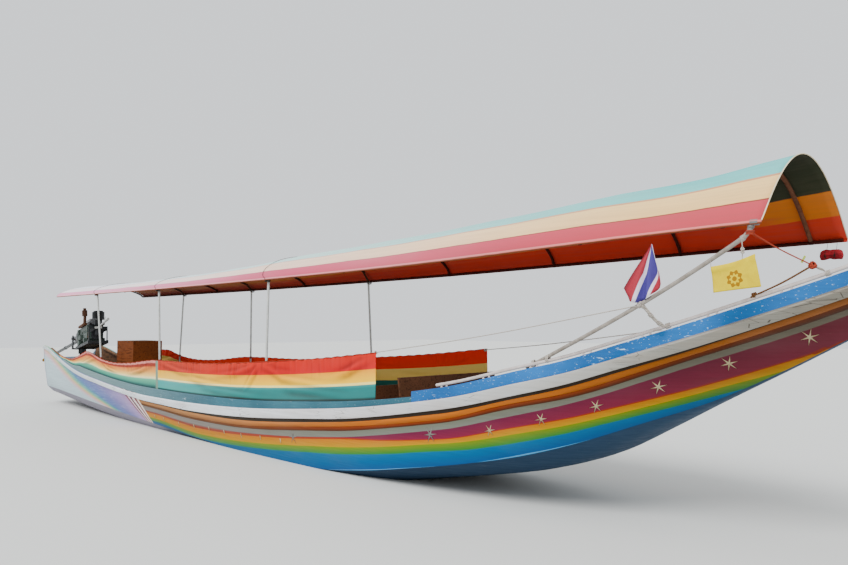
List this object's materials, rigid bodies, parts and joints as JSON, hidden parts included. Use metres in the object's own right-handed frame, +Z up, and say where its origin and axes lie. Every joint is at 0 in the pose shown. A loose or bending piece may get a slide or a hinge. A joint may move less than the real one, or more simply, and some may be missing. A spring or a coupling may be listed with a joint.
{
  "type": "longtail boat",
  "caption": "Slim planked river boat with an upswept bow, barrel canopy on tube frames, bench seats, and an open engine on a swivel yoke driving a propeller on a long shaft.",
  "frame": {"origin": "on the waterline amidships, half way between the transom and the prow's tip, on the boat's centre line", "axes": "+X towards the bow, +Y to port, +Z up"},
  "size_m": [21.9614, 2.1495, 3.173],
  "materials": {
    "hull_bands": "gloss paint in bands, worn",
    "hull_blue": "gloss paint, worn",
    "strake_white": "worn white paint",
    "coaming_teal": "worn paint",
    "washboard_blue": "worn paint",
    "inner_wood": "oiled, weathered",
    "bench_wood": "varnished",
    "box_wood": "varnished",
    "rack_tube": "pale painted tube",
    "canopy_cloth": "coated cloth in stripes, faded",
    "side_cloth": "coated cloth in stripes, faded",
    "striped_flag": "woven cloth",
    "yellow_flag": "woven cloth",
    "drive_steel": "dark paint, oily",
    "engine_iron": "painted, oily",
    "engine_alloy": "cast, dull",
    "exhaust_rust": "rusted",
    "bronze": "polished by use"
  },
  "bodies": {
    "boat": {"bottom_planking_1": "hull_blue", "bottom_planking_2": "hull_blue", "bottom_planking_3": "hull_blue", "bottom_planking_4": "hull_blue", "bottom_planking_5": "hull_blue", "transom": "hull_bands", "prow": "hull_bands", "ribs_and_keelson_1": "inner_wood", "ribs_and_keelson_2": "inner_wood", "aft_deck": "inner_wood", "foredeck": "inner_wood", "floorboards_1": "inner_wood", "floorboards_2": "inner_wood", "floorboards_3": "inner_wood", "driver_box": "box_wood", "canopy_rack": "rack_tube", "canopy": "canopy_cloth", "tricolour_flag": "striped_flag", "yellow_flag": "yellow_flag", "pivot_post": "drive_steel", "side_planking_starboard_1": "hull_bands", "side_planking_starboard_2": "hull_bands", "side_planking_starboard_3": "hull_bands", "side_planking_port_1": "hull_bands", "side_planking_port_2": "hull_bands", "side_planking_port_3": "hull_bands", "inwale_starboard": "inner_wood", "inwale_port": "inner_wood", "rub_strake_starboard": "strake_white", "rub_strake_port": "strake_white", "coaming_starboard": "coaming_teal", "coaming_port": "coaming_teal", "washboard_starboard": "washboard_blue", "washboard_port": "washboard_blue", "handrail_starboard": "rack_tube", "handrail_port": "rack_tube", "strut_starboard": "rack_tube", "side_cloth_starboard": "side_cloth", "side_cloth_port": "side_cloth", "canopy_frame_1": "rack_tube", "canopy_frame_2": "rack_tube", "canopy_frame_3": "rack_tube", "bench_1": "bench_wood", "bench_2": "bench_wood", "bench_3": "bench_wood", "bench_4": "bench_wood", "bench_5": "bench_wood", "bench_6": "bench_wood"},
    "yoke": {"yoke": "drive_steel"},
    "power_unit": {"bearing_housing": "engine_alloy", "engine_cradle": "drive_steel", "engine_block": "engine_iron", "front_drive": "drive_steel", "cylinder_head": "engine_alloy", "air_cleaner": "drive_steel", "exhaust": "exhaust_rust", "tiller": "rack_tube", "shaft_tube": "drive_steel"},
    "propeller": {"propeller": "bronze"}
  },
  "joints": [
    {"name": "steer", "type": "hinge", "parent": "boat", "child": "yoke", "pos_m": [-8, 0, 1.02], "axis": [0, 0, 1], "range_deg": [-23, 47]},
    {"name": "tilt", "type": "hinge", "parent": "yoke", "child": "power_unit", "pos_m": [-8, 0, 1.25], "axis": [-0.2079, -0.9781, 0], "range_deg": [-6, 8]},
    {"name": "prop_spin", "type": "hinge", "parent": "power_unit", "child": "propeller", "pos_m": [-13.292, 1.1248, 0.6814], "axis": [-0.9728, 0.2068, -0.1045], "continuous": true}
  ]
}
